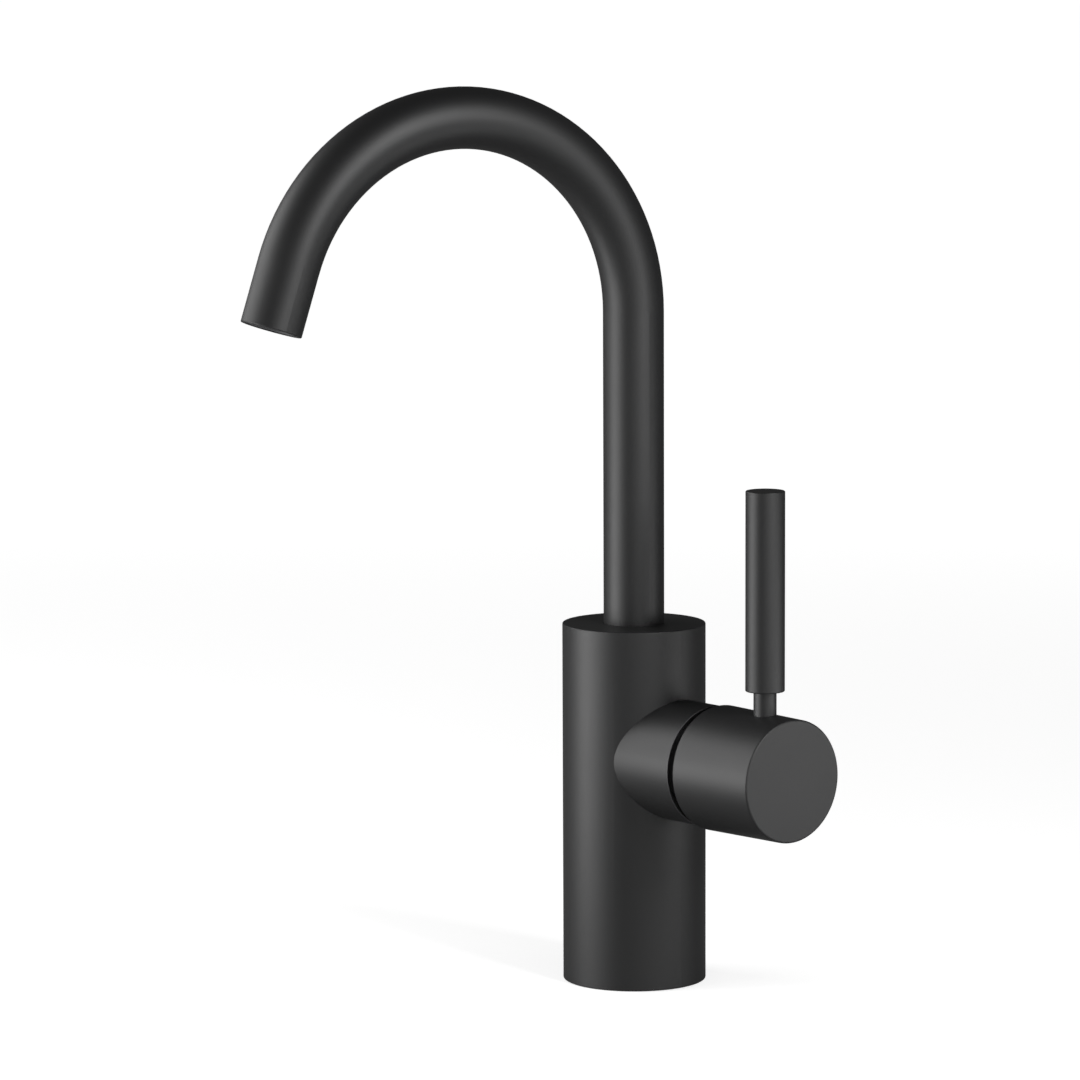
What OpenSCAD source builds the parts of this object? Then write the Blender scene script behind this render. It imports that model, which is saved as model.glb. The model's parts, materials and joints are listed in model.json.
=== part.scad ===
// Single-lever basin mixer in matt black, in millimetres.
// The origin is the centre of the base, on the deck, with +Z up.
// The lever hub points along +X, and the spout turns about Z near -Y.

/* [Body] */
// Diameter of the upright body
body_d = 52; // [50:1:60]
// Height of the upright body above the deck
body_h = 131; // [128:1:145]
// Diameter of the side branch
branch_d = 43.6; // [43.2:0.1:45]
// Distance from the body's axis to the end face of the side branch
branch_reach = 43.3; // [42:0.1:50]
// Height of the side branch's axis above the deck
branch_z = 83.7; // [80:0.1:92]
// Diameter of the hollow inside the foot of the body
foot_bore_d = 42; // [36:1:44]
// Height of the hollow inside the foot of the body
foot_bore_h = 55; // [44:1:58]
// Radius of the rounded edges of turned pieces
edge = 0.4; // [0.2:0.1:0.8]

/* [Connections under the body] */
// Diameter of the two threaded inlets for the hoses
inlet_d = 10; // [8:0.5:10]
// Depth of the two threaded inlets
inlet_depth = 12; // [9:0.5:13]
// Distance of each inlet from the plane between them
inlet_side = 7.5; // [7:0.1:9]
// Distance of the inlets in front of the body's axis
inlet_x = 8; // [7:0.1:9]
// Diameter of the threaded hole for the fixing stud
stud_d = 8; // [6:0.5:10]
// Depth of the threaded hole for the fixing stud
stud_depth = 14; // [10:0.5:16]
// Distance of the fixing stud behind the body's axis
stud_back = 10; // [9:0.1:12]
// Width of the sealing ring under the foot
base_seal_w = 1.8; // [1.2:0.1:2]
// Thickness of the sealing ring under the foot
base_seal_t = 1.5; // [1:0.1:2.5]

/* [Spout] */
// Outer diameter of the spout tube
tube_d = 22; // [20:0.5:24]
// Wall of the spout tube
tube_wall = 1.5; // [1:0.1:2]
// Length of the straight riser above the body
riser = 113.3; // [80:0.1:160]
// Radius of the gooseneck along the middle of the tube
arc_r = 71.5; // [50:0.5:90]
// Angle through which the gooseneck bends
arc_sweep = 161.9; // [140:0.1:175]
// Length of the straight leg after the bend
leg = 23.1; // [20:0.1:60]
// Angle at which the spout stands, measured from -Y
spout_rest = -9.6; // [-30:0.1:30]
// Angle that the spout swings to each side of -Y
swivel_half = 60; // [40:1:65]

/* [Spout bearing] */
// Depth of the tube's seat below the top of the body
tube_seat = 12; // [10:0.5:14]
// Depth of the whole bearing bore below the top of the body
bearing_depth = 32; // [30:0.5:34]
// Length of the spigot that is brazed inside the tube
spigot_grip = 14; // [8:0.5:20]
// Wall of the spigot between its bore and the seal grooves
spigot_wall = 1.6; // [1.2:0.1:1.8]
// Depth of the two seal grooves in the spigot
seal_groove = 1.35; // [1:0.05:1.5]
// Thickness of the washer under the tube
washer_t = 1; // [0.6:0.1:1.5]
// Height of the glide ring around the tube
glide_h = 3; // [2:0.1:4]
// Thickness of the glide ring around the tube
glide_t = 1.1; // [0.8:0.1:1.4]
// Diameter of the grub screw that holds the spout
grub_d = 5; // [4:0.5:5]
// Diameter of the grub screw's plain tip
grub_tip_d = 3.6; // [2.4:0.1:3.6]
// Depth of the grub screw's outer end inside the body's surface
grub_recess = 6; // [5:0.5:8]

/* [Aerator] */
// Length of the aerator's threaded sleeve
aerator_h = 12; // [10:0.5:14]
// Distance of the aerator inside the end of the spout
aerator_inset = 0.4; // [0.2:0.1:1]
// Wall of the aerator's threaded sleeve
aerator_wall = 1.8; // [1.4:0.1:2.2]
// Thickness of the outlet grid
grid_t = 2; // [1.5:0.1:3]
// Diameter of one hole in the outlet grid
grid_hole_d = 1.5; // [1:0.1:1.6]
// Thickness of the sealing washer above the aerator
aerator_seal_t = 2; // [1.5:0.1:3]

/* [Lever] */
// Diameter of the lever hub at its front face
hub_d = 44; // [43:0.1:45]
// Diameter of the lever hub at its back edge
hub_back_d = 45.2; // [44:0.1:45.4]
// Length of the lever hub
hub_len = 38.7; // [38:0.1:46]
// Radius of the lever hub's rounded edges
hub_edge = 0.7; // [0.4:0.1:1.2]
// Gap between the side branch and the lever hub
hub_gap = 3.4; // [3:0.1:4]
// Wall of the lever hub around its hollow
hub_wall = 2; // [1.6:0.1:2.2]
// Distance of the tilt axis in front of the hub's back edge
pivot_back = 7.7; // [7:0.1:8.5]
// Angle from closed to fully open
tilt_max = 20; // [14:1:20]
// Distance of the lever's axis in front of the hub's back edge
lever_back = 24.2; // [24:0.1:27]
// Diameter of the thin stem under the grip
stem_d = 8.2; // [7:0.1:10]
// Visible length of the stem above the hub
stem_show = 8.3; // [5:0.1:15]
// Diameter of the stem's two threaded ends
spigot_d = 6; // [5:0.5:6]
// Diameter of the grip
grip_d = 14; // [12:0.5:18]
// Length of the grip
grip_len = 71.3; // [50:0.1:110]
// Diameter of the set screw under the hub
set_screw_d = 5; // [4:0.5:5]
// Length of the set screw under the hub
set_screw_len = 8; // [6:0.5:10]

/* [Cartridge] */
// Outer diameter of the cartridge
cartridge_d = 25; // [24.5:0.1:25.5]
// Wall of the cartridge's housing
housing_wall = 1.2; // [1:0.1:1.3]
// Diameter of the ring nut's thread
nut_d = 28; // [27.5:0.1:28.5]
// Thickness of the ring nut
nut_t = 4.4; // [4:0.1:4.6]
// Diameter of the part of the guide that stands out of the nut
guide_d = 18; // [17.6:0.1:18.4]
// Width of the square spindle
spindle_w = 7; // [6.6:0.1:7]
// Distance from the tilt axis back to the spindle's ball
ball_arm = 9; // [8.8:0.1:9.2]
// Diameter of the spindle's ball
ball_d = 5.2; // [4.8:0.1:5.4]
// Diameter of the pin on the tilt axis
pin_d = 3; // [2.5:0.1:3.2]
// Diameter of the fixed ceramic disc's sliding partner
moving_disc_d = 18; // [17.8:0.1:18.2]
// Thickness of each ceramic disc
disc_t = 4; // [3.6:0.1:4]
// Thickness of the port seals
port_seal_t = 1; // [0.8:0.1:1.2]
// Diameter of the two inlet ports
inlet_port_d = 4; // [3:0.1:4]
// Diameter of the outlet port
outlet_port_d = 5.2; // [4:0.1:5.2]

/* [Fits] */
// Running clearance on the radius, also beside threads and press-in pieces
slip = 0.05; // [0.03:0.01:0.08]
// Clearance between the hub's back edge and the hollow in the side branch
bowl_gap = 0.35; // [0.3:0.05:0.5]
// Clearance of the cartridge in its bore, on the radius
cartridge_gap = 0.1; // [0.05:0.01:0.15]
// Free room kept around pieces that tilt inside the hub
swing_room = 0.5; // [0.4:0.05:0.6]

/* [Hidden] */
$fn = 96;

matt_black = [0.09, 0.09, 0.095];
steel_grey = [0.62, 0.62, 0.64];
brass_gold = [0.72, 0.58, 0.3];
rubber_black = [0.06, 0.06, 0.06];
plastic_white = [0.85, 0.85, 0.83];
plastic_grey = [0.45, 0.47, 0.5];
ceramic_white = [0.93, 0.92, 0.9];

// A cut runs this far past the face that it opens
past = 1;

// A rounded edge is turned in this many steps
corner_steps = 4;

// Body and side branch
body_r = body_d / 2;
branch_r = branch_d / 2;
foot_bore_r = foot_bore_d / 2;
base_seal_mid = (body_r + foot_bore_r) / 2;

// Lever hub along X, a touch wider at its back than at its front
hub_r = hub_d / 2;
hub_back_r = hub_back_d / 2;
hub_x = branch_reach + hub_gap;
hub_front = hub_x + hub_len;
pivot_x = hub_x + pivot_back;
lever_x = hub_x + lever_back;
hollow_r = hub_r - hub_wall;
bowl_r = norm([pivot_back, hub_back_r]) + bowl_gap;

// Neck that carries the cartridge, thin enough for the tilted hub to clear it
neck_r = hollow_r * cos(tilt_max) - pivot_back * sin(tilt_max) - swing_room;
neck_ahead = 4;
neck_front = pivot_x + neck_ahead;
guide_ahead = 7;
guide_front = pivot_x + guide_ahead;
guide_r = guide_d / 2;
hollow_ahead = max(
    guide_ahead * cos(tilt_max) + guide_r * sin(tilt_max),
    neck_ahead * cos(tilt_max) + neck_r * sin(tilt_max)
) + swing_room + 0.3;
hollow_front = pivot_x + hollow_ahead;

// Spindle and its socket in the hub
spindle_tail = 4.4;
spindle_back = pivot_x - spindle_tail;
spindle_in_hub = 11.4;
spindle_front = hollow_front + spindle_in_hub;
socket_w = spindle_w + 2 * slip;
half_w = spindle_w / 2;
ball_r = ball_d / 2;
ball_x = pivot_x - ball_arm;
ball_neck_r = 1.6;
ball_lift = ball_arm * sin(tilt_max);
disc_start = -ball_lift / 2;

// Cartridge stack along X, from the nut back to the floor of its bore
cartridge_r = cartridge_d / 2;
bore_r = cartridge_r + cartridge_gap;
inner_r = cartridge_r - housing_wall;
nut_back = neck_front - nut_t;
nut_play = 4;
nut_bore_gap = 0.6;
nut_slot = 3;
lip_t = 2.5;
lip_back = nut_back - lip_t;
flange_front = lip_back - slip;
boss_front = ball_x + ball_neck_r;
guide_back = ball_x - 0.7;
carrier_front = guide_back - slip;
carrier_t = 3.55;
carrier_back = carrier_front - carrier_t;
boss_w = 9;
boss_h = 12;
moving_back = carrier_back - disc_t;
fixed_front = moving_back - slip;
fixed_back = fixed_front - disc_t;
base_front = fixed_back - port_seal_t;
base_t = 9;
base_flange_t = 4;
base_back = base_front - base_t;
bore_floor = base_back - port_seal_t;
peg_r = 1.5;
peg_len = 3;
peg_side = cartridge_r - peg_r - 1.2;

// Ports: hot and cold side by side above the axis, the outlet below it
port_side = 5;
port_up = 3;
outlet_down = 5;
port_seal_w = 1.1;
inlet_port_r = inlet_port_d / 2;
outlet_port_r = outlet_port_d / 2;
riser_channel_r = 4;

// Recess in the moving disc that joins the ports: one wide round, and an ear at each side
recess_down = 1.9;
recess_r = 4.6;
recess_side = 4.4;
recess_up = 0.2;
recess_ear_r = 2;

// Spout bearing along Z
tube_r = tube_d / 2;
tube_in = tube_r - tube_wall;
spigot_r = tube_in - slip;
seat_z = body_h - tube_seat;
bearing_floor = body_h - bearing_depth;
tube_z = seat_z + washer_t + slip;
spigot_z = bearing_floor + past;
spigot_top = tube_z + spigot_grip;
groove_r = spigot_r - seal_groove;
spigot_in = groove_r - spigot_wall;
ring_r = seal_groove / 2;
seal_rise = 3.5;
seal_pitch = 4.5;
seal_z = [spigot_z + seal_rise, spigot_z + seal_rise + seal_pitch];
stop_rise = 13.5;
stop_z = spigot_z + stop_rise;
stop_depth = 1.75;
stop_r = spigot_r - stop_depth;
grub_r = grub_d / 2;
grub_tip_r = grub_tip_d / 2;
grub_tip_y = stop_r + 0.3;
grub_y = tube_in + 0.5;
grub_len = body_r - grub_recess - grub_y;
grub_key = 2.5;
key_depth = 3;
glide_from_top = 4;
glide_z = body_h - glide_from_top - glide_h;

// The stop groove turns with the spout, and the grub screw stays at +Y
swing_left = swivel_half - spout_rest;
swing_right = swivel_half + spout_rest;
grub_way = 90;
tip_angle = asin((grub_tip_r + 2 * slip) / grub_tip_y);
stop_from = grub_way - swing_left - tip_angle;
stop_sweep = swing_left + swing_right + 2 * tip_angle;

// Spout; the leg is drawn down by a hair, so that it runs inside the bend's end
arc_z = body_h + riser;
leg_draw = 0.01;
leg_r = tube_r - leg_draw;
leg_in = tube_in - leg_draw;
leg_lap = 0.5;

// Lever; the stem stands in a seat that is sunk below the hub's surface
stem_r = stem_d / 2;
stem_end_r = spigot_d / 2;
grip_r = grip_d / 2;
hub_lever_r = hub_back_r + (hub_r - hub_back_r) * lever_back / hub_len;
hub_top = branch_z + hub_lever_r;
stem_sink = 0.6;
stem_seat = branch_z + sqrt(pow(hub_lever_r, 2) - pow(stem_r + slip, 2)) - stem_sink;
stem_end_depth = 13;
grip_z = hub_top + stem_show;
grip_hole = 20;
set_screw_r = set_screw_d / 2;
set_screw_key = 2.5;

// Aerator, measured along the leg
sleeve_back = leg - aerator_inset - aerator_h;
sleeve_front = leg - aerator_inset;
sleeve_r = leg_in - slip;
sleeve_in = sleeve_r - aerator_wall;
sleeve_lip = 0.5;
sleeve_lip_t = 1.2;
grid_front = sleeve_front - sleeve_lip_t;
insert_front = grid_front - grid_t - 0.4;
insert_r = sleeve_in - slip;
insert_floor = 2;
insert_wall = 1.2;
jet_r = 0.5;
jet_step = 30;
grid_pitch = insert_r * 0.28;

// Cylinder along X on the branch's axis
module rod(from, to, r) {
    translate([from, 0, branch_z])
        rotate([0, 90, 0])
            cylinder(h = to - from, r = r);
}

// Ring along X on the branch's axis
module ring(from, to, outer, inner) {
    difference() {
        rod(from, to, outer);
        rod(from - past, to + past, inner);
    }
}

// Hole along X, beside the branch's axis by side and above it by up
module port(from, to, side, up, r) {
    translate([0, side, up])
        rod(from, to, r);
}

// The three water ports of the cartridge, wider by grow
module ports(from, to, grow = 0) {
    for (side = [-port_side, port_side])
        port(from, to, side, port_up, inlet_port_r + grow);
    port(from, to, 0, -outlet_down, outlet_port_r + grow);
}

// Box along X on the branch's axis, from low to high across Z
module slot_box(from, to, width, low, high) {
    translate([from, -width / 2, branch_z + low])
        cube([to - from, width, high - low]);
}

// Points of a rounded corner of radius c about a centre, through 90 degrees from an angle
function corner(x, y, c, from) = [
    for (turn = [0 : 90 / corner_steps : 90])
        [x + c * cos(from + turn), y + c * sin(from + turn)]
];

// Turned solid with a rounded edge at both ends, and a radius of its own at the top
module turned(h, r, c, r_top = 0) {
    r_end = r_top > 0 ? r_top : r;
    rotate_extrude()
        polygon(concat([[0, 0]], corner(r - c, c, c, -90), corner(r_end - c, h - c, c, 0), [[0, h]]));
}

// Hexagon key hole along Z
module key_hole(depth, across) {
    cylinder(h = depth, r = across / sqrt(3), $fn = 6);
}

// Puts a child into the spout's own turned frame
module on_spout() {
    rotate([0, 0, spout_rest])
        children();
}

// Puts a child at the start of the leg, with +Z along the water's way out
module on_leg() {
    on_spout()
        translate([0, -arc_r, arc_z])
            rotate([arc_sweep, 0, 0])
                translate([0, arc_r, 0])
                    children();
}

// Bend of the gooseneck with a round section
module bend(r) {
    on_spout()
        translate([0, -arc_r, arc_z])
            rotate([90, 0, 90])
                rotate_extrude(angle = arc_sweep)
                    translate([arc_r, 0])
                        circle(r = r);
}

// Water ways inside the body
module water_ways() {
    for (side = [-1, 1]) {
        translate([inlet_x, side * inlet_side, foot_bore_h - past])
            cylinder(h = inlet_depth + past, r = inlet_d / 2);
        translate([inlet_x, side * port_side, foot_bore_h])
            cylinder(h = branch_z + port_up - foot_bore_h, r = inlet_port_r);
        port(inlet_x, bore_floor + past, side * port_side, port_up, inlet_port_r);
    }
    port(0, bore_floor + past, 0, -outlet_down, outlet_port_r);
    translate([0, 0, branch_z - outlet_down - outlet_port_r])
        cylinder(h = bearing_floor + past - branch_z + outlet_down + outlet_port_r,
                 r = riser_channel_r);
}

// Seats cut into the top of the body for the spout
module spout_seats() {
    translate([0, 0, bearing_floor])
        cylinder(h = bearing_depth + past, r = tube_in);
    translate([0, 0, seat_z])
        cylinder(h = tube_seat + past, r = tube_r + slip);
    translate([0, 0, glide_z])
        cylinder(h = glide_h, r = tube_r + slip + glide_t);
    translate([0, 0, stop_z])
        rotate([-90, 0, 0])
            cylinder(h = body_r + past, r = grub_r);
}

// Seats cut into the branch for the cartridge
module cartridge_seats() {
    rod(bore_floor, neck_front + past, bore_r);
    rod(nut_back - nut_play, neck_front + past, nut_d / 2);
    for (side = [-1, 1])
        port(bore_floor - peg_len - 0.3, bore_floor + past, side * peg_side, 0, peg_r + slip);
}

module body() {
    color(matt_black)
        difference() {
            union() {
                turned(body_h, body_r, edge);
                difference() {
                    rod(0, branch_reach, branch_r);
                    translate([pivot_x, 0, branch_z])
                        sphere(r = bowl_r);
                }
                rod(bore_floor, neck_front, neck_r);
            }
            translate([0, 0, -past])
                cylinder(h = foot_bore_h + past, r = foot_bore_r);
            translate([-stud_back, 0, foot_bore_h - past])
                cylinder(h = stud_depth + past, r = stud_d / 2);
            base_seal_ring(base_seal_w + 2 * slip, -past);
            water_ways();
            spout_seats();
            cartridge_seats();
        }
}

// Flat ring under the foot, of a given width, that starts at a given height
module base_seal_ring(width, from) {
    translate([0, 0, from])
        difference() {
            cylinder(h = base_seal_t - from, r = base_seal_mid + width / 2);
            translate([0, 0, -past])
                cylinder(h = base_seal_t - from + 2 * past, r = base_seal_mid - width / 2);
        }
}

module base_seal() {
    color(rubber_black)
        base_seal_ring(base_seal_w, 0);
}

module spout_grub_screw() {
    color(steel_grey)
        translate([0, grub_tip_y, stop_z])
            rotate([-90, 0, 0])
                difference() {
                    union() {
                        cylinder(h = grub_y - grub_tip_y + edge, r = grub_tip_r);
                        translate([0, 0, grub_y - grub_tip_y])
                            turned(grub_len, grub_r - slip, edge);
                    }
                    translate([0, 0, grub_y - grub_tip_y + grub_len - key_depth])
                        key_hole(key_depth + past, grub_key);
                }
}

module glide_ring() {
    color(plastic_white)
        translate([0, 0, glide_z + slip])
            difference() {
                cylinder(h = glide_h - 2 * slip, r = tube_r + glide_t);
                translate([0, 0, -past])
                    cylinder(h = glide_h + 2 * past, r = tube_r + slip);
            }
}

module thrust_washer() {
    color(plastic_white)
        translate([0, 0, seat_z])
            difference() {
                cylinder(h = washer_t, r = tube_r);
                translate([0, 0, -past])
                    cylinder(h = washer_t + 2 * past, r = tube_in + slip);
            }
}

module spout_tube() {
    color(matt_black)
        difference() {
            union() {
                on_spout()
                    translate([0, 0, tube_z])
                        cylinder(h = arc_z - tube_z, r = tube_r);
                bend(tube_r);
                on_leg()
                    rotate_extrude()
                        polygon(concat([[0, -leg_lap], [leg_r, -leg_lap]],
                                       corner(leg_r - edge, leg - edge, edge, 0), [[0, leg]]));
            }
            on_spout()
                translate([0, 0, tube_z - past])
                    cylinder(h = arc_z - tube_z + past, r = tube_in);
            bend(tube_in);
            on_leg()
                translate([0, 0, -leg_lap])
                    cylinder(h = leg + leg_lap + past, r = leg_in);
        }
}

module spout_spigot() {
    color(brass_gold)
        on_spout()
            difference() {
                translate([0, 0, spigot_z])
                    turned(spigot_top - spigot_z, spigot_r, edge);
                translate([0, 0, spigot_z - past])
                    cylinder(h = spigot_top - spigot_z + 2 * past, r = spigot_in);
                for (z = seal_z)
                    translate([0, 0, z - ring_r - slip])
                        groove_cut(seal_groove + 2 * slip, groove_r, 0, 360);
                translate([0, 0, stop_z - grub_tip_r - 2 * slip])
                    groove_cut(grub_tip_d + 4 * slip, stop_r, stop_from - spout_rest, stop_sweep);
            }
}

// Groove around the spigot, cut down to a radius, over a stated angle
module groove_cut(width, floor_r, from, sweep) {
    rotate([0, 0, from])
        rotate_extrude(angle = sweep)
            translate([floor_r, 0])
                square([spigot_r - floor_r + past, width]);
}

module spout_o_rings() {
    color(rubber_black)
        for (z = seal_z)
            translate([0, 0, z])
                rotate_extrude()
                    translate([groove_r + ring_r, 0])
                        circle(r = ring_r);
}

module aerator_housing() {
    color(plastic_grey)
        on_leg()
            rotate_extrude()
                polygon([[sleeve_in, sleeve_back], [sleeve_r, sleeve_back],
                         [sleeve_r, sleeve_front - edge], [sleeve_r - edge, sleeve_front],
                         [sleeve_in - sleeve_lip, sleeve_front],
                         [sleeve_in - sleeve_lip, grid_front], [sleeve_in, grid_front]]);
}

module aerator_insert() {
    color(plastic_white)
        on_leg()
            difference() {
                translate([0, 0, sleeve_back])
                    cylinder(h = insert_front - sleeve_back, r = insert_r);
                translate([0, 0, sleeve_back + insert_floor])
                    cylinder(h = insert_front, r = insert_r - insert_wall);
                for (turn = [0 : jet_step : 360 - jet_step])
                    rotate([0, 0, turn])
                        translate([insert_r * 0.6, 0, sleeve_back - past])
                            cylinder(h = insert_floor + 2 * past, r = jet_r);
            }
}

module aerator_grid() {
    color(plastic_grey)
        on_leg()
            translate([0, 0, grid_front - grid_t])
                difference() {
                    cylinder(h = grid_t, r = insert_r);
                    for (circle_no = [0 : 3])
                        for (hole = [0 : max(0, 6 * circle_no - 1)])
                            rotate([0, 0, hole * 60 / max(1, circle_no)])
                                translate([circle_no * grid_pitch, 0, -past])
                                    cylinder(h = grid_t + 2 * past, r = grid_hole_d / 2);
                }
}

module aerator_seal() {
    color(rubber_black)
        on_leg()
            translate([0, 0, sleeve_back - aerator_seal_t])
                difference() {
                    cylinder(h = aerator_seal_t, r = sleeve_r);
                    translate([0, 0, -past])
                        cylinder(h = aerator_seal_t + 2 * past, r = sleeve_in);
                }
}

module cartridge_housing() {
    color(plastic_grey)
        union() {
            ring(base_back + base_flange_t, nut_back, cartridge_r, inner_r);
            ring(lip_back, nut_back, cartridge_r, guide_r + 2 * slip);
        }
}

module cartridge_base() {
    color(plastic_white)
        difference() {
            union() {
                rod(base_back, base_back + base_flange_t, cartridge_r);
                rod(base_back, base_front, inner_r - slip);
                for (side = [-1, 1])
                    port(base_back - peg_len - port_seal_t, base_front, side * peg_side, 0, peg_r);
            }
            ports(base_back - past, base_front + past);
        }
}

module inlet_seals() {
    color(rubber_black)
        difference() {
            ports(bore_floor, base_back, port_seal_w);
            ports(bore_floor - past, base_back + past);
        }
}

module disc_seals() {
    color(rubber_black)
        difference() {
            ports(base_front, fixed_back, port_seal_w);
            ports(base_front - past, fixed_back + past);
        }
}

module fixed_disc() {
    color(ceramic_white)
        difference() {
            rod(fixed_back, fixed_front, inner_r - slip);
            ports(fixed_back - past, fixed_front + past);
        }
}

module moving_disc() {
    color(ceramic_white)
        translate([0, 0, disc_start])
            difference() {
                rod(moving_back, carrier_back, moving_disc_d / 2);
                port(moving_back - past, moving_back + disc_t / 2, 0, -recess_down, recess_r);
                for (side = [-recess_side, recess_side])
                    port(moving_back - past, moving_back + disc_t / 2, side, recess_up, recess_ear_r);
            }
}

module disc_carrier() {
    color(plastic_grey)
        translate([0, 0, disc_start])
            difference() {
                union() {
                    rod(carrier_back, carrier_front, moving_disc_d / 2);
                    slot_box(carrier_back, boss_front, boss_w, -boss_h / 2, boss_h / 2);
                }
                translate([0, 0, -disc_start])
                    rod(ball_x - ball_r - 0.4, boss_front + past, ball_r + 2 * slip);
            }
}

module spindle_guide() {
    pocket_w = boss_w + 2 * slip;
    pocket_h = boss_h + ball_lift + 4 * slip;
    pocket_front = boss_front + 1;
    back_high = spindle_tail * sin(tilt_max) + half_w * cos(tilt_max) + 0.4;
    front_low = half_w / cos(tilt_max) + guide_ahead * tan(tilt_max) + 0.3;
    color(plastic_white)
        difference() {
            union() {
                rod(guide_back, flange_front, inner_r - 2 * slip);
                rod(guide_back, guide_front, guide_r);
            }
            slot_box(guide_back - past, pocket_front, pocket_w, -pocket_h / 2, pocket_h / 2);
            slot_box(guide_back, pivot_x + 0.8, socket_w, -half_w - 0.1, back_high);
            slot_box(pivot_x - 0.8, guide_front + past, socket_w, -front_low, half_w + 0.1);
            pin_hole(pin_d / 2 + slip / 2);
        }
}

// Hole or pin on the tilt axis, along Y
module pin_hole(r, length = 2 * guide_r + 2 * past) {
    translate([pivot_x, -length / 2, branch_z])
        rotate([-90, 0, 0])
            cylinder(h = length, r = r);
}

module pivot_pin() {
    color(steel_grey)
        pin_hole(pin_d / 2, 2 * guide_r - 1);
}

module spindle() {
    color(steel_grey)
        difference() {
            union() {
                slot_box(spindle_back, spindle_front, spindle_w, -half_w, half_w);
                rod(ball_x, spindle_back + edge, ball_neck_r);
                translate([ball_x, 0, branch_z])
                    sphere(r = ball_r);
            }
            pin_hole(pin_d / 2 + slip);
        }
}

module cartridge_nut() {
    color(brass_gold)
        difference() {
            ring(nut_back, neck_front, nut_d / 2 - slip, guide_r + nut_bore_gap);
            for (turn = [0, 45, 90, 135])
                translate([neck_front - nut_slot / 2, 0, branch_z])
                    rotate([turn, 0, 0])
                        translate([0, -nut_d / 2, -nut_slot / 2])
                            cube([nut_slot, nut_d, nut_slot]);
        }
}

module lever_hub() {
    color(matt_black)
        difference() {
            translate([hub_x, 0, branch_z])
                rotate([0, 90, 0])
                    turned(hub_len, hub_back_r, hub_edge, hub_r);
            rod(hub_x - past, hollow_front, hollow_r);
            slot_box(hollow_front - past, spindle_front + 0.3, socket_w,
                     -socket_w / 2, socket_w / 2);
            translate([lever_x, 0, stem_seat])
                cylinder(h = hub_back_r, r = stem_r + slip);
            translate([lever_x, 0, stem_seat - stem_end_depth - 0.5])
                cylinder(h = hub_back_r, r = stem_end_r + slip);
            translate([lever_x, 0, branch_z - hub_back_r - past])
                cylinder(h = hub_back_r + past, r = set_screw_r + slip);
        }
}

module hub_set_screw() {
    color(steel_grey)
        translate([lever_x, 0, branch_z - half_w - set_screw_len])
            difference() {
                turned(set_screw_len, set_screw_r, edge);
                translate([0, 0, -past])
                    key_hole(key_depth + past, set_screw_key);
            }
}

module lever_stem() {
    color(matt_black)
        union() {
            translate([lever_x, 0, stem_seat])
                cylinder(h = grip_z - stem_seat, r = stem_r);
            translate([lever_x, 0, stem_seat - stem_end_depth])
                cylinder(h = stem_end_depth + grip_z - stem_seat + grip_hole - 1, r = stem_end_r);
        }
}

module lever_grip() {
    color(matt_black)
        translate([lever_x, 0, grip_z])
            difference() {
                turned(grip_len, grip_r, edge);
                translate([0, 0, -past])
                    cylinder(h = grip_hole + past, r = stem_end_r + slip);
            }
}

body();
base_seal();
spout_grub_screw();
glide_ring();
thrust_washer();
spout_tube();
spout_spigot();
spout_o_rings();
aerator_housing();
aerator_insert();
aerator_grid();
aerator_seal();
cartridge_housing();
cartridge_base();
inlet_seals();
disc_seals();
fixed_disc();
cartridge_nut();
spindle_guide();
pivot_pin();
moving_disc();
disc_carrier();
spindle();
lever_hub();
hub_set_screw();
lever_stem();
lever_grip();
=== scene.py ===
# %% [markdown]
# A matt black basin mixer with one side lever. The exact solids come in as a fixed frame, in
# metres, and everything below dresses them: finishes, finer pieces, a pale floor and soft lamps.
# Loading the frame first means that later places can be read from it, so few values have to be fitted by eye.

# %% Load the frame
import json
import math

import bpy
from mathutils import Matrix, Vector


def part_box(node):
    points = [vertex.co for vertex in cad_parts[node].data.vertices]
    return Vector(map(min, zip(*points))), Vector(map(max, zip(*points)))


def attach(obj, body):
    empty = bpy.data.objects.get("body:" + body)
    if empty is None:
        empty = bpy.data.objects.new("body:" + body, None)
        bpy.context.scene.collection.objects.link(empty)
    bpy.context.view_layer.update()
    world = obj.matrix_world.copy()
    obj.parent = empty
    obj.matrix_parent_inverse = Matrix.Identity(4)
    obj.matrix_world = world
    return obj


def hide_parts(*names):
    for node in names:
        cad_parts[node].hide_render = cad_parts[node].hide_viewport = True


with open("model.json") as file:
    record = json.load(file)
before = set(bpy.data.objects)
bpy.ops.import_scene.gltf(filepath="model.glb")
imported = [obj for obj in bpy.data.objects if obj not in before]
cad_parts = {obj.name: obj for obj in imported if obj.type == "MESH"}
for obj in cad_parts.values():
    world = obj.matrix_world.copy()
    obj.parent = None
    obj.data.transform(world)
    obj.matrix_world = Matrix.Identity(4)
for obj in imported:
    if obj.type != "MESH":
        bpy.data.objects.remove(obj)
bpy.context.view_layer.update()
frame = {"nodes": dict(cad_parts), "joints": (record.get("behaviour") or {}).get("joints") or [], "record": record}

MM = 0.001
nodes = frame["nodes"]
record = frame["record"]


# %% [markdown]
# The photograph looks at the mixer from in front, on the side of the lever, and from a little
# above. A camera two metres away with a long lens keeps upright edges almost parallel, as they are
# there. It could be aimed with a Track To constraint, but a small turn about its own axis is
# needed too, so its matrix is built from three angles. Azimuth 0 looks along +Y, angles without
# math.radians are in radians, and the lens suits a square picture.

# %% Camera
CAMERA_AZIMUTH = math.radians(50.3)
CAMERA_PITCH = 0.1304
CAMERA_ROLL = -0.004
CAMERA_BACK = 1.929
CAMERA_SIDE = -0.03395
CAMERA_HEIGHT = 0.4142
CAMERA_LENS = 179.15
SENSOR_WIDTH = 36

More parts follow.
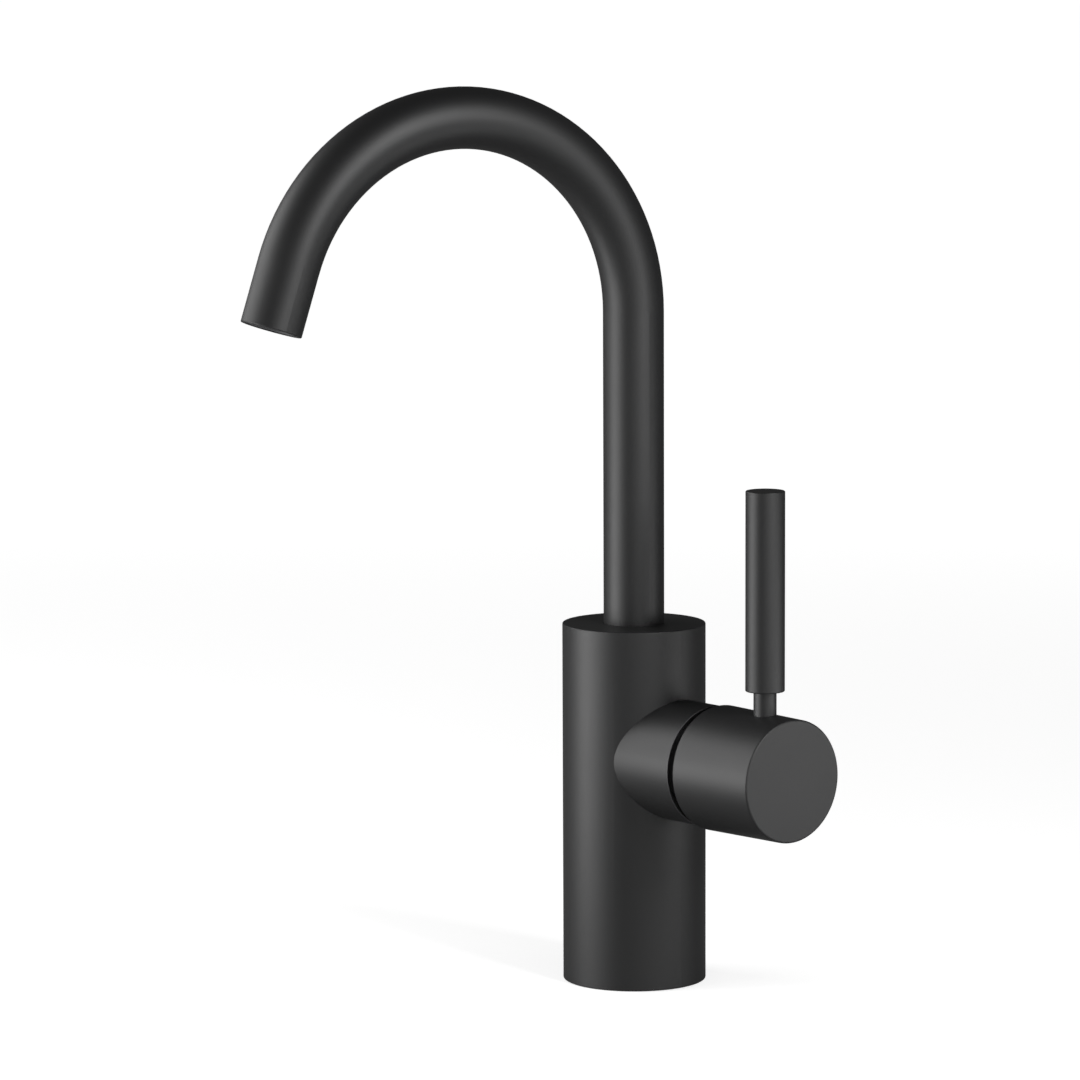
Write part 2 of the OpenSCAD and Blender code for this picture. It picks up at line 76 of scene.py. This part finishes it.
up = Vector((0, 0, 1))
to_right = Vector((math.cos(CAMERA_AZIMUTH), math.sin(CAMERA_AZIMUTH), 0))
to_viewer = Vector((math.sin(CAMERA_AZIMUTH), -math.cos(CAMERA_AZIMUTH), 0))

bpy.ops.object.camera_add()
camera = bpy.context.object
camera.name = "camera"
camera.data.sensor_width = SENSOR_WIDTH
camera.data.lens = CAMERA_LENS
camera.data.clip_end = 100
backward = to_viewer * math.cos(CAMERA_PITCH) + up * math.sin(CAMERA_PITCH)
camera_up = up * math.cos(CAMERA_PITCH) - to_viewer * math.sin(CAMERA_PITCH)
aim = Matrix((to_right, camera_up, backward)).transposed().to_4x4()
stand = Matrix.Translation(to_right * CAMERA_SIDE + to_viewer * CAMERA_BACK + up * CAMERA_HEIGHT)
camera.matrix_world = stand @ aim @ Matrix.Rotation(CAMERA_ROLL, 4, "Z")
bpy.context.scene.camera = camera
print("camera at", [round(length, 3) for length in camera.matrix_world.translation])

# %% [markdown]
# Finishes are node materials. Wiring each Math node by hand hides the formula, so a small class
# stands for the output of a node and gives it +, - and *. Writing 0.5 + 0.03 * grain then adds the
# two Math nodes that the formula needs. Reflected forms such as __radd__ let a plain number come
# first, as in 1 - mask.

# %% Signals
class Signal:
    """One output of a node, which can be used in a sum, a difference or a product."""

    def __init__(self, wiring, socket):
        self.wiring = wiring
        self.socket = socket

    def combined(self, operation, first, second):
        return self.wiring.node("ShaderNodeMath", {"operation": operation}, {0: first, 1: second})

    def __add__(self, other):
        return self.combined("ADD", self, other)

    def __sub__(self, other):
        return self.combined("SUBTRACT", self, other)

    def __rsub__(self, other):
        return self.combined("SUBTRACT", other, self)

    def __mul__(self, other):
        return self.combined("MULTIPLY", self, other)

    __radd__ = __add__
    __rmul__ = __mul__


print("helper ready:", Signal.__name__)

# %% [markdown]
# Nodes could be added and linked one statement at a time, which takes five lines for each of them
# and hides what the material does. Here one method adds a node of any type, sets it up, and fills
# its sockets with values or with signals. It serves the finishes and the world alike. Light Path
# has a second, short method, because the floor and the world look different to different rays.

# %% Wiring
class Wiring:
    """The node tree of a finish or of the room, which its nodes are added to."""

    def __init__(self, tree):
        self.tree = tree

    def plug(self, socket, value):
        """Sets a socket to a value, or links it to a signal."""
        if isinstance(value, Signal):
            self.tree.links.new(value.socket, socket)
        else:
            socket.default_value = value

    def node(self, kind, settings=None, inputs=None, output=0):
        """Adds a node, applies its settings first, then fills its inputs."""
        node = self.tree.nodes.new(kind)
        for name, value in (settings or {}).items():
            setattr(node, name, value)
        for name, value in (inputs or {}).items():
            self.plug(node.inputs[name], value)
        return Signal(self, node.outputs[output])

    def ray(self, kind):
        """1 on rays of a kind, such as Is Camera Ray, and 0 on the others."""
        return self.node("ShaderNodeLightPath", output=kind)


print("helper ready:", Wiring.__name__)

# %% [markdown]
# A finish is a material with one Principled shader. Its patterns could follow a UV map, but the
# solids have none. They read Object coordinates instead, which are metres in the frame that all
# pieces share, so a grain of half a millimetre has that size on every piece and never slides when
# a joint moves. These few patterns are enough for coats, turned metal and moulded plastic.

# %% Finish and its patterns
class Finish(Wiring):
    """A material for one finish of the mixer, with its Principled shader ready to be set."""

    def __init__(self, name):
        self.material = bpy.data.materials.new(name)
        self.material.use_nodes = True
        super().__init__(self.material.node_tree)
        self.shader = self.tree.nodes["Principled BSDF"]

    def set(self, **sockets):
        """Fills sockets of the Principled shader; an underscore stands for a space."""
        for name, value in sockets.items():
            self.plug(self.shader.inputs[name.replace("_", " ")], value)

    def place(self, scale=(1, 1, 1)):
        """Object coordinates in metres; a scale under 1 draws a pattern out in that direction."""
        point = self.node("ShaderNodeTexCoord", output="Object")
        return self.node("ShaderNodeMapping", {}, {"Vector": point, "Scale": scale})

    def distance(self, point, centre=(0, 0, 0)):
        """Metres from a centre to each point."""
        settings = {"operation": "DISTANCE"}
        return self.node("ShaderNodeVectorMath", settings, {0: point, 1: centre}, output="Value")

    def noise(self, point, size, detail):
        """Noise from 0 to 1 whose spots are about size metres across."""
        sockets = {"Vector": point, "Scale": 1 / size, "Detail": detail}
        return self.node("ShaderNodeTexNoise", {}, sockets)

    def ramp(self, value, start, end):
        """0 at the start, 1 at the end, a straight change between them and none past them."""
        sockets = {"Value": value, "From Min": start, "From Max": end}
        return self.node("ShaderNodeMapRange", {"clamp": True}, sockets)

    def bump(self, height, depth, below=None):
        """Normal for a height from 0 to 1 that stands depth metres high."""
        sockets = {"Height": height, "Distance": depth, "Strength": 1.0}
        if below is not None:
            sockets["Normal"] = below
        return self.node("ShaderNodeBump", {}, sockets, output="Normal")

    def mix(self, amount, first, second):
        """The first colour where amount is 0, the second where it is 1."""
        settings = {"data_type": "RGBA"}
        return self.node("ShaderNodeMix", settings, {0: amount, 6: first, 7: second}, output=2)


print("helper ready:", Finish.__name__)

# %% [markdown]
# The visible mixer has one finish: a matt black powder coat over brass. Up close such a coat isn't
# smooth. It has a fine dry grain about half a millimetre across, on top of a faint waviness where
# the powder flowed together, and its gloss differs a little from place to place. Grain and waves
# could be modelled, but paint this thin doesn't change the outline, so both are bumps. The grain
# also spreads the highlights.

# %% Matt black coat
COAT_LIGHT = (0.0085, 0.0086, 0.0090, 1)
COAT_DARK = (0.0060, 0.0061, 0.0064, 1)
COAT_ROUGHNESS = 0.46
COAT_IOR = 1.56
GRAIN_SIZE = 0.45 * MM
GRAIN_HEIGHT = 0.010 * MM
WAVE_SIZE = 3.5 * MM
WAVE_HEIGHT = 0.008 * MM
PATCH_SIZE = 25 * MM
PATCH_DULLING = 0.05
GRAIN_DULLING = 0.03


def coat_pattern(finish):
    """Colour, roughness and normal of the coat, for the finish that it lies on."""
    point = finish.place()
    grain = finish.noise(point, GRAIN_SIZE, detail=3)
    waves = finish.noise(point, WAVE_SIZE, detail=1)
    patches = finish.noise(point, PATCH_SIZE, detail=3)
    colour = finish.mix(grain, COAT_DARK, COAT_LIGHT)
    roughness = COAT_ROUGHNESS + PATCH_DULLING * patches + GRAIN_DULLING * grain
    relief = finish.bump(grain, GRAIN_HEIGHT, below=finish.bump(waves, WAVE_HEIGHT))
    return colour, roughness, relief


def matt_black():
    coat = Finish("matt_black_coat")
    colour, roughness, relief = coat_pattern(coat)
    coat.set(Base_Color=colour, Roughness=roughness, IOR=COAT_IOR, Normal=relief)
    return coat.material


finishes = {"matt_black": matt_black()}
print("made", finishes["matt_black"].name, "with a grain of", GRAIN_SIZE / MM, "mm")

# %% [markdown]
# The body is coated from outside only. Its hollow foot and the holes for the hoses stay bare
# brass, and a little powder drifts in past the rim. A second object for the inside would need a
# gap to the first, so one material does both, with a mask that is 1 on the brass. It measures how
# far a point is from the upright axis, because the brass lies within the hollow of the foot. It
# ends just below the spout's bearing, so the top face stays black, and noise makes the border of
# the drifted powder ragged.

# %% Mask of the bare inside
BARE_MARGIN = 0.2 * MM
BARE_EDGE = 0.1 * MM
BARE_TOP = 98 * MM
BARE_TOP_EDGE = 1 * MM
DRIFT_LOW = 4 * MM
DRIFT_HIGH = 10 * MM
DRIFT_RAGGED = 6 * MM
DRIFT_SPOTS = 3 * MM


def hole_of(mount_name):
    """Middle of the mouth, radius and depth, in metres, of a hole that is a mount in the record."""
    mount = next(entry for entry in record["mounts"] if entry["name"] == mount_name)
    dims = mount["dims"]
    return Vector(mount["pos_m"]), dims["r_mm"] * MM, dims["length_mm"] * MM


_, foot_radius, foot_depth = hole_of("foot_bore")
bare_radius = foot_radius + BARE_MARGIN


def bare_mask(finish):
    """1 on the bare brass inside the body, 0 on its coat."""
    point = finish.place()
    from_axis = finish.distance(finish.place(scale=(1, 1, 0)))
    height = finish.node("ShaderNodeSeparateXYZ", {}, {"Vector": point}, output="Z")
    ragged_height = height + DRIFT_RAGGED * finish.noise(point, DRIFT_SPOTS, detail=4)
    within = finish.ramp(from_axis, bare_radius, bare_radius - BARE_EDGE)
    below = finish.ramp(height, BARE_TOP, BARE_TOP - BARE_TOP_EDGE)
    past_drift = finish.ramp(ragged_height, DRIFT_LOW, DRIFT_HIGH)
    return within * below * past_drift


print("hollow of the foot:", round(foot_radius / MM, 1), "by", round(foot_depth / MM, 1), "mm")

# %% [markdown]
# The hub swings in a bowl at the end of the side branch. The gap there lies in shade, yet it shows dark grey, not
# black, so a lighter grey is painted into the coat there: painted light in the shaded gap. The faces of the bowl
# could get a second material, but its border would be hard, while this painted light fades. So it depends on the
# distance from the middle of the bowl. That is the point which the lever tilts about, so it comes from the frame.

# %% Body
BOWL_REACH = 24.6 * MM
BOWL_EDGE = 0.3 * MM
# Painted light: the lighter grey that is painted into the shaded gap of the bowl.
GAP_PAINTED_LIGHT = (0.085, 0.085, 0.087, 1)
BRASS_LIGHT = (0.62, 0.44, 0.20, 1)
BRASS_DARK = (0.44, 0.30, 0.13, 1)
BRASS_SHINE = 0.14
STAIN_SIZE = 6 * MM

lever_tilt = next(joint for joint in frame["joints"] if joint["name"] == "lever_tilt")


def coated_body():
    body = Finish("matt_black_body")
    colour, roughness, relief = coat_pattern(body)
    point = body.place()
    from_bowl = body.distance(point, lever_tilt["pos_m"])
    # Painted light in the shaded gap, fading out with the distance from the middle of the bowl.
    painted_light_in_gap = body.ramp(from_bowl, BOWL_REACH, BOWL_REACH - BOWL_EDGE)
    brass = body.mix(body.noise(point, STAIN_SIZE, detail=4), BRASS_DARK, BRASS_LIGHT)
    bare = bare_mask(body)
    body.set(
        Base_Color=body.mix(bare, body.mix(painted_light_in_gap, colour, GAP_PAINTED_LIGHT), brass),
        Metallic=bare,
        Roughness=roughness - BRASS_SHINE * bare,
        IOR=COAT_IOR,
        Normal=relief,
    )
    return body.material


own_finishes = {"body": coated_body()}
# The print names the painted light in the gap of the bowl.
print("made", own_finishes["body"].name, "with painted_light round", lever_tilt["pos_m"])

# %% [markdown]
# Inside and under the mixer there are pieces of brass and steel, turned on a lathe. The tool
# leaves fine lines around the axis of the piece. An image texture would need its own mapping for
# each piece, so noise is drawn out across the axis instead, by a small scale, which leaves thin
# rings along it. Most of these pieces are turned about X, the axis of the hub. The spigot of the
# spout, the threads, two screws and the tilt pin have other axes, and so a finish of their own.

# %% Turned brass and steel
ABOUT_X = (1, 0.02, 0.02)
ABOUT_Y = (0.02, 1, 0.02)
ABOUT_Z = (0.02, 0.02, 1)
RING_WIDTH = 0.12 * MM
RING_HEIGHT = 0.006 * MM
STAIN_DULLING = 0.12
RING_SHINE = 0.06


def turned_metal(name, light, dark, roughness, scale):
    metal = Finish(name)
    rings = metal.noise(metal.place(scale), RING_WIDTH, detail=2)
    stain = metal.noise(metal.place(), STAIN_SIZE, detail=4)
    metal.set(
        Base_Color=metal.mix(stain, dark, light),
        Metallic=1.0,
        Roughness=roughness + STAIN_DULLING * stain - RING_SHINE * rings,
        Normal=metal.bump(rings, RING_HEIGHT),
    )
    return metal.material


def turned_brass(name, scale):
    return turned_metal(name, (0.80, 0.60, 0.30, 1), (0.66, 0.46, 0.20, 1), 0.26, scale)


def turned_steel(name, scale):
    return turned_metal(name, (0.62, 0.62, 0.63, 1), (0.50, 0.50, 0.51, 1), 0.24, scale)


upright_brass = turned_brass("upright_brass", ABOUT_Z)
crosswise_steel = turned_steel("crosswise_steel", ABOUT_Y)
own_finishes["spout_spigot"] = upright_brass
own_finishes["hub_set_screw"] = turned_steel("upright_steel", ABOUT_Z)
own_finishes["spout_grub_screw"] = crosswise_steel
own_finishes["pivot_pin"] = crosswise_steel
finishes["bare_brass"] = turned_brass("machined_brass", ABOUT_X)
finishes["stainless"] = turned_steel("turned_stainless", ABOUT_X)
print("pieces with a finish of their own:", sorted(own_finishes))

# %% [markdown]
# The cartridge, the bearings, the aerator and the seals are moulded, and the two discs are lapped
# ceramic. One flat colour each would be quick, but moulded plastic has a light grain from its mould
# and small differences of colour and gloss. Rubber is dull, and lapped ceramic shines. All of them
# are the same two noises in other sizes and colours, so one function makes the five finishes.

# %% Moulded and lapped finishes
CLOUD_SIZE = 8 * MM
CLOUD_DULLING = 0.08


def moulded(name, light, dark, roughness, grain_size, grain_height):
    plastic = Finish(name)
    point = plastic.place()
    grain = plastic.noise(point, grain_size, detail=2)
    cloud = plastic.noise(point, CLOUD_SIZE, detail=3)
    plastic.set(
        Base_Color=plastic.mix(cloud, dark, light),
        Roughness=roughness + CLOUD_DULLING * cloud,
        Normal=plastic.bump(grain, grain_height),
    )
    return plastic.material


finishes["rubber_seal"] = moulded(
    "seal_rubber", light=(0.030, 0.030, 0.031, 1), dark=(0.020, 0.020, 0.020, 1),
    roughness=0.62, grain_size=0.5 * MM, grain_height=0.02 * MM,
)
finishes["white_bearing_plastic"] = moulded(
    "bearing_plastic", light=(0.82, 0.82, 0.79, 1), dark=(0.76, 0.76, 0.72, 1),
    roughness=0.34, grain_size=0.8 * MM, grain_height=0.01 * MM,
)
finishes["cartridge_plastic"] = moulded(
    "cartridge_plastic", light=(0.30, 0.32, 0.35, 1), dark=(0.25, 0.27, 0.30, 1),
    roughness=0.42, grain_size=0.6 * MM, grain_height=0.02 * MM,
)
finishes["aerator_plastic"] = moulded(
    "aerator_plastic", light=(0.11, 0.11, 0.115, 1), dark=(0.08, 0.08, 0.085, 1),
    roughness=0.45, grain_size=0.5 * MM, grain_height=0.015 * MM,
)
finishes["ceramic"] = moulded(
    "lapped_ceramic", light=(0.88, 0.87, 0.84, 1), dark=(0.83, 0.82, 0.78, 1),
    roughness=0.12, grain_size=0.2 * MM, grain_height=0.001 * MM,
)
print("slots with a finish:", sorted(finishes))

# %% [markdown]
# Every solid of the frame gets a finish, so no part is left in a plain colour. They could be
# dressed one by one, but the record already says which slot each solid belongs to, so a loop over
# it leaves none out. A solid takes the finish of its own where it has one, and that of its slot
# where it hasn't. Only the material changes: the meshes stay as they came.

# %% Dress the solids
for subpart in record["subparts"]:
    node_name = subpart["node"]
    finish = own_finishes.get(node_name, finishes[subpart["material_slot"]])
    for slot in nodes[node_name].material_slots:
        slot.material = finish
print("solids dressed:", len(record["subparts"]), "of", len(nodes))

# %% [markdown]
# Two kinds of piece are too fine for the solids: the moulded grid in the outlet, and the threads under the body.
# They are modelled here as by hand: each starts as a primitive at its place, and operators and modifiers shape it.
# An operator acts on all that is selected, and loading the frame leaves its solids selected, so each new piece
# begins with an empty selection. A finished piece has its place in its mesh, has its finish, and rides on a body.

# %% Helpers for new pieces
SMOOTH_UP_TO = math.radians(35)


def start_piece():
    """Deselects everything, so that the next operator acts on the new primitive alone."""
    bpy.ops.object.select_all(action="DESELECT")


def keep_only(piece):
    """Makes one object the only selected one, and the active one."""
    start_piece()
    piece.select_set(True)
    bpy.context.view_layer.objects.active = piece


def apply_modifier(piece, kind, **settings):
    """Adds a modifier, fills in its settings and applies it."""
    keep_only(piece)
    modifier = piece.modifiers.new(kind.lower(), kind)
    for name, value in settings.items():
        setattr(modifier, name, value)
    bpy.ops.object.modifier_apply(modifier=modifier.name)


def finish_piece(piece, name, finish, body):
    """Applies the place, smooths the round faces, and gives name, finish and body."""
    keep_only(piece)
    bpy.ops.object.transform_apply(location=True, rotation=True, scale=True)
    bpy.ops.object.shade_smooth_by_angle(angle=SMOOTH_UP_TO)
    piece.name = name
    piece.data.name = name
    piece.data.materials.clear()
    piece.data.materials.append(finish)
    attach(piece, body)
    print(name, "has", len(piece.data.polygons), "faces and rides on", body)


print("edges are smooth up to", round(math.degrees(SMOOTH_UP_TO)), "degrees")

# %% [markdown]
# The water leaves through a moulded honeycomb, which straightens the stream. It is a thin disc
# with a raised rim, square to the outlet. The line from the seal above it to the middle of the
# solid grid gives the direction of the outlet, so the disc needs no angle typed in. The rim could
# be a second ring on top of the disc. Here the outer face is inset and pushed in, as in a mould,
# so disc and rim stay one piece.

# %% Disc of the outlet grid
GRID_RADIUS = 7.58 * MM
GRID_DEPTH = 2.0 * MM
GRID_RIM = 0.7 * MM
GRID_SUNK = 0.4 * MM
GRID_SIDES = 96


def middle(node):
    low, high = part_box(node)
    return (Vector(low) + Vector(high)) / 2


grid_middle = middle("aerator_grid")
outlet_down = (grid_middle - middle("aerator_seal")).normalized()
outlet_turn = outlet_down.to_track_quat("Z", "Y")

start_piece()
bpy.ops.mesh.primitive_cylinder_add(
    vertices=GRID_SIDES,
    radius=GRID_RADIUS,
    depth=GRID_DEPTH,
    location=grid_middle,
    rotation=outlet_turn.to_euler(),
)
grid = bpy.context.object
bpy.ops.object.transform_apply(location=True, rotation=True, scale=True)
bpy.ops.object.mode_set(mode="EDIT")
bpy.ops.mesh.select_mode(type="FACE")
bpy.ops.mesh.select_all(action="DESELECT")
bpy.ops.object.mode_set(mode="OBJECT")
outer_face = max(grid.data.polygons, key=lambda face: face.normal.dot(outlet_down))
outer_face.select = True
bpy.ops.object.mode_set(mode="EDIT")
bpy.ops.mesh.inset(thickness=GRID_RIM)
bpy.ops.mesh.extrude_region_move(TRANSFORM_OT_translate={"value": -GRID_SUNK * outlet_down})
bpy.ops.object.mode_set(mode="OBJECT")
print("the outlet points along", [round(share, 3) for share in outlet_down])

# %% [markdown]
# The thin walls of the honeycomb could be faked with a see-through pattern, but from below the
# cells show their depth, so they are cut. First their places are worked out. Each row lies half a
# step further along than the row before it, and the rows are a little closer together than the
# cells in a row, by the height of an equilateral triangle. Only places inside the rim are kept.

# %% Places of the cells
CELL_WIDTH = 1.3 * MM
CELL_PITCH = 1.62 * MM
CELL_MARGIN = 0.1 * MM

cell_radius = CELL_WIDTH / math.sqrt(3)
field = GRID_RADIUS - GRID_RIM - cell_radius - CELL_MARGIN
most = 2 * math.ceil(field / CELL_PITCH)
cell_spots = []
for row in range(-most, most + 1):
    for column in range(-most, most + 1):
        across = Vector((column + row / 2, row * math.sqrt(3) / 2, 0)) * CELL_PITCH
        if across.length < field:
            cell_spots.append(grid_middle + outlet_turn @ across)
print("cells in the grid:", len(cell_spots))

# %% [markdown]
# One hexagonal prism is made, long enough to reach right through, and copied to every place. Each
# copy could be cut out by itself, but fifty cuts are slow, so the copies are joined and cut out of
# the disc in one go. Last, every edge gets a small bevel, since a moulded edge is never quite
# sharp. The finished grid stands for the plain one among the solids.

# %% Cut the cells
CUT_DEPTH = 3 * GRID_DEPTH
EDGE_BEVEL = 0.06 * MM
BEVEL_FROM = 0.5

start_piece()
bpy.ops.mesh.primitive_cylinder_add(
    vertices=6,
    radius=cell_radius,
    depth=CUT_DEPTH,
    location=cell_spots[0],
    rotation=outlet_turn.to_euler(),
)
cell = bpy.context.object
cells = [cell]
for spot in cell_spots[1:]:
    copy = cell.copy()
    copy.data = cell.data.copy()
    copy.location = spot
    bpy.context.scene.collection.objects.link(copy)
    cells.append(copy)
keep_only(cell)
for copy in cells:
    copy.select_set(True)
bpy.ops.object.join()
apply_modifier(grid, "BOOLEAN", operation="DIFFERENCE", solver="EXACT", object=cell)
bpy.data.objects.remove(cell)
bevel = {"width": EDGE_BEVEL, "segments": 1, "limit_method": "ANGLE", "angle_limit": BEVEL_FROM}
apply_modifier(grid, "BEVEL", **bevel)
finish_piece(grid, "outlet_grid", finishes["aerator_plastic"], "spout")
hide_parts("aerator_grid")

# %% [markdown]
# The fixing stud screws into the body from below, in a hole of 8 mm with a pitch of 1.25 mm. A
# bump would show rings that don't climb. So the outline of one thread, which is wide at the wall
# and narrow at its crest, is laid beside the axis, and a Screw modifier winds it up the hole. The
# two open ends are filled, and the normals are made to point outwards. The heights and widths of
# the outline are shares of the pitch, and its root is sunk a little into the wall of the hole.

# %% Thread for the fixing stud
STUD_PITCH = 1.25 * MM
THREAD_HEIGHT = 0.54
THREAD_ROOT = 0.80
THREAD_START = 0.55
CREST_OF_ROOT = 0.25
ROOT_SUNK = 0.05 * MM
THREAD_STEPS = 48


def wind_thread(mount_name, pitch):
    """Thread on the wall of a hole under the body, from its mouth upwards."""
    mouth, radius, depth = hole_of(mount_name)
    height = THREAD_HEIGHT * pitch
    start_piece()
    bpy.ops.mesh.primitive_plane_add(
        size=1, location=mouth + THREAD_START * pitch * up, rotation=(math.radians(90), 0, 0)
    )
    thread = bpy.context.object
    thread.scale = (height + ROOT_SUNK, THREAD_ROOT * pitch, 1)
    bpy.ops.object.transform_apply(location=False, rotation=True, scale=True)
    for point in thread.data.vertices:
        point.select = point.co.x < 0
    bpy.ops.object.mode_set(mode="EDIT")
    bpy.ops.mesh.select_mode(type="VERT")
    bpy.ops.transform.resize(value=(1, 1, CREST_OF_ROOT))
    bpy.ops.mesh.select_all(action="SELECT")
    bpy.ops.transform.translate(value=(radius - (height - ROOT_SUNK) / 2, 0, 0))
    bpy.ops.object.mode_set(mode="OBJECT")
    turns = {"iterations": int(depth / pitch) - 1, "angle": 2 * math.pi, "screw_offset": pitch}
    steps = {"steps": THREAD_STEPS, "render_steps": THREAD_STEPS}
    apply_modifier(thread, "SCREW", axis="Z", **turns, **steps)
    bpy.ops.object.mode_set(mode="EDIT")
    bpy.ops.mesh.select_all(action="SELECT")
    bpy.ops.mesh.fill_holes(sides=4)
    bpy.ops.mesh.normals_make_consistent(inside=False)
    bpy.ops.object.mode_set(mode="OBJECT")
    return thread


stud = wind_thread("stud_thread", STUD_PITCH)
finish_piece(stud, "stud_thread", upright_brass, "base")

# %% [markdown]
# The hoses for hot and cold water screw in beside the stud, in two holes of 10 mm with a pitch of
# 1 mm. Both threads are alike and climb the same way, so a mirrored copy would be wrong: it would
# climb the other way. The first is wound like that of the stud, and the second is a copy with a
# mesh of its own, moved to its hole.

# %% Threads for the hoses
HOSE_PITCH = 1 * MM

hot = wind_thread("hot_inlet", HOSE_PITCH)
cold = hot.copy()
cold.data = hot.data.copy()
cold.location.y = hole_of("cold_inlet")[0].y
bpy.context.scene.collection.objects.link(cold)
finish_piece(hot, "hot_inlet_thread", upright_brass, "base")
finish_piece(cold, "cold_inlet_thread", upright_brass, "base")

# %% [markdown]
# The mixer stands on a wide pale floor, as in a catalogue photograph. Stronger lamps would make
# the floor white in the picture, but they would also light the mixer more. So the floor glows, but
# only for the rays that look straight at it: Light Path tells the rays apart, and camera and
# transmission rays see it white. Glossy rays see a small share of the glow and a darker floor. The
# dark edges in the photograph say that the real mixer stood between dark surroundings, and with
# all of it mirrored its undersides would turn light grey. Near the foot the lamps light the floor
# too, so it glows less there, and the soft shadow stays.

# %% Floor
FLOOR_SIZE = 24
FLOOR_DROP = 0.2 * MM
FLOOR_COLOUR = 0.80
MIRRORED_FLOOR = 0.3
MIRRORED_GLOW = 0.06
GLOW_NEAR = 0.60
GLOW_FAR = 0.93
GLOW_RISES_FROM = 0.25
GLOW_RISES_TO = 1.5


def seen(wiring):
    """1 on camera and transmission rays, and the mirrored share on glossy rays."""
    direct = wiring.ray("Is Camera Ray") + wiring.ray("Is Transmission Ray")
    return direct + MIRRORED_GLOW * wiring.ray("Is Glossy Ray")


start_piece()
bpy.ops.mesh.primitive_plane_add(size=FLOOR_SIZE, location=(0, 0, -FLOOR_DROP))
floor = bpy.context.object
floor.name = "floor"
pale = Finish("pale_floor")
far_off = pale.ramp(pale.distance(pale.place()), GLOW_RISES_FROM, GLOW_RISES_TO)
pale.set(
    Base_Color=FLOOR_COLOUR * (1 - (1 - MIRRORED_FLOOR) * pale.ray("Is Glossy Ray")),
    Roughness=1.0,
    Specular_IOR_Level=0.0,
    Emission_Color=GLOW_NEAR + (GLOW_FAR - GLOW_NEAR) * far_off,
    Emission_Strength=seen(pale),
)
floor.data.materials.append(pale.material)
print("floor:", FLOOR_SIZE, "m across,", round(FLOOR_DROP / MM, 1), "mm under the foot")

# %% [markdown]
# Past the floor the picture shows the world. A white backdrop would catch the light of the lamps
# and throw it back at the mixer, so the world itself is white, for the same rays as the floor.
# Diffuse rays get only a tenth of it, a weak light from all sides that keeps the shadows from
# going quite black. The Standard view transform shows a colour as it is written, so a strength of
# 1 is white.

# %% World
WORLD_COLOUR = (1, 1, 1, 1)
WORLD_LIGHT = 0.10

world = bpy.data.worlds.new("white_room")
world.use_nodes = True
bpy.context.scene.world = world
bpy.context.scene.view_settings.view_transform = "Standard"
room = Wiring(world.node_tree)
background = room.tree.nodes["Background"]
room.plug(background.inputs["Color"], WORLD_COLOUR)
room.plug(background.inputs["Strength"], seen(room) + WORLD_LIGHT * room.ray("Is Diffuse Ray"))
print("the world lights the mixer at", WORLD_LIGHT)

# %% [markdown]
# A matt black rod shows its lamps as soft upright bands. The photograph has a strong band on the
# left of each upright part and a weaker one right of the middle, with dark edges. The hub and its
# front face are lit most. Point lamps would give small spots, so these are soft boxes: four large
# ones at 0.8 m, and two small ones near the hub, whose light fades before it reaches the spout.
# Each is described by how bright it looks, so its power grows with its area.

# %% Soft boxes
ROOM_RANGE = 0.8
HUB_RANGE = 0.35


def soft_box(name, azimuth, distance, low, high, width, brightness):
    """Upright area lamp that faces the mixer; azimuth is in degrees right of the camera."""
    turn = math.radians(azimuth)
    outward = to_viewer * math.cos(turn) + to_right * math.sin(turn)
    bpy.ops.object.light_add(type="AREA", location=outward * distance + up * (low + high) / 2)
    lamp = bpy.context.object
    lamp.name = name
    lamp.rotation_euler = outward.to_track_quat("Z", "Y").to_euler()
    lamp.data.shape = "RECTANGLE"
    lamp.data.size = width
    lamp.data.size_y = high - low
    lamp.data.energy = brightness * math.pi * width * (high - low)
    lamp.visible_camera = False
    print(name, "gives", round(lamp.data.energy, 2), "W")


soft_box("left_box", -70, ROOM_RANGE, low=0.0, high=0.30, width=0.56, brightness=5.9)
soft_box("back_left_box", -100, ROOM_RANGE, low=0.30, high=0.90, width=0.85, brightness=2.8)
soft_box("front_box", 40, ROOM_RANGE, low=0.30, high=0.90, width=0.28, brightness=10.8)
soft_box("low_front_box", 20, ROOM_RANGE, low=0.0, high=0.30, width=0.85, brightness=1.4)
soft_box("near_left_box", -85, HUB_RANGE, low=0.0, high=0.12, width=0.12, brightness=5.8)
soft_box("near_right_box", 67.5, HUB_RANGE, low=0.0, high=0.12, width=0.24, brightness=2.7)
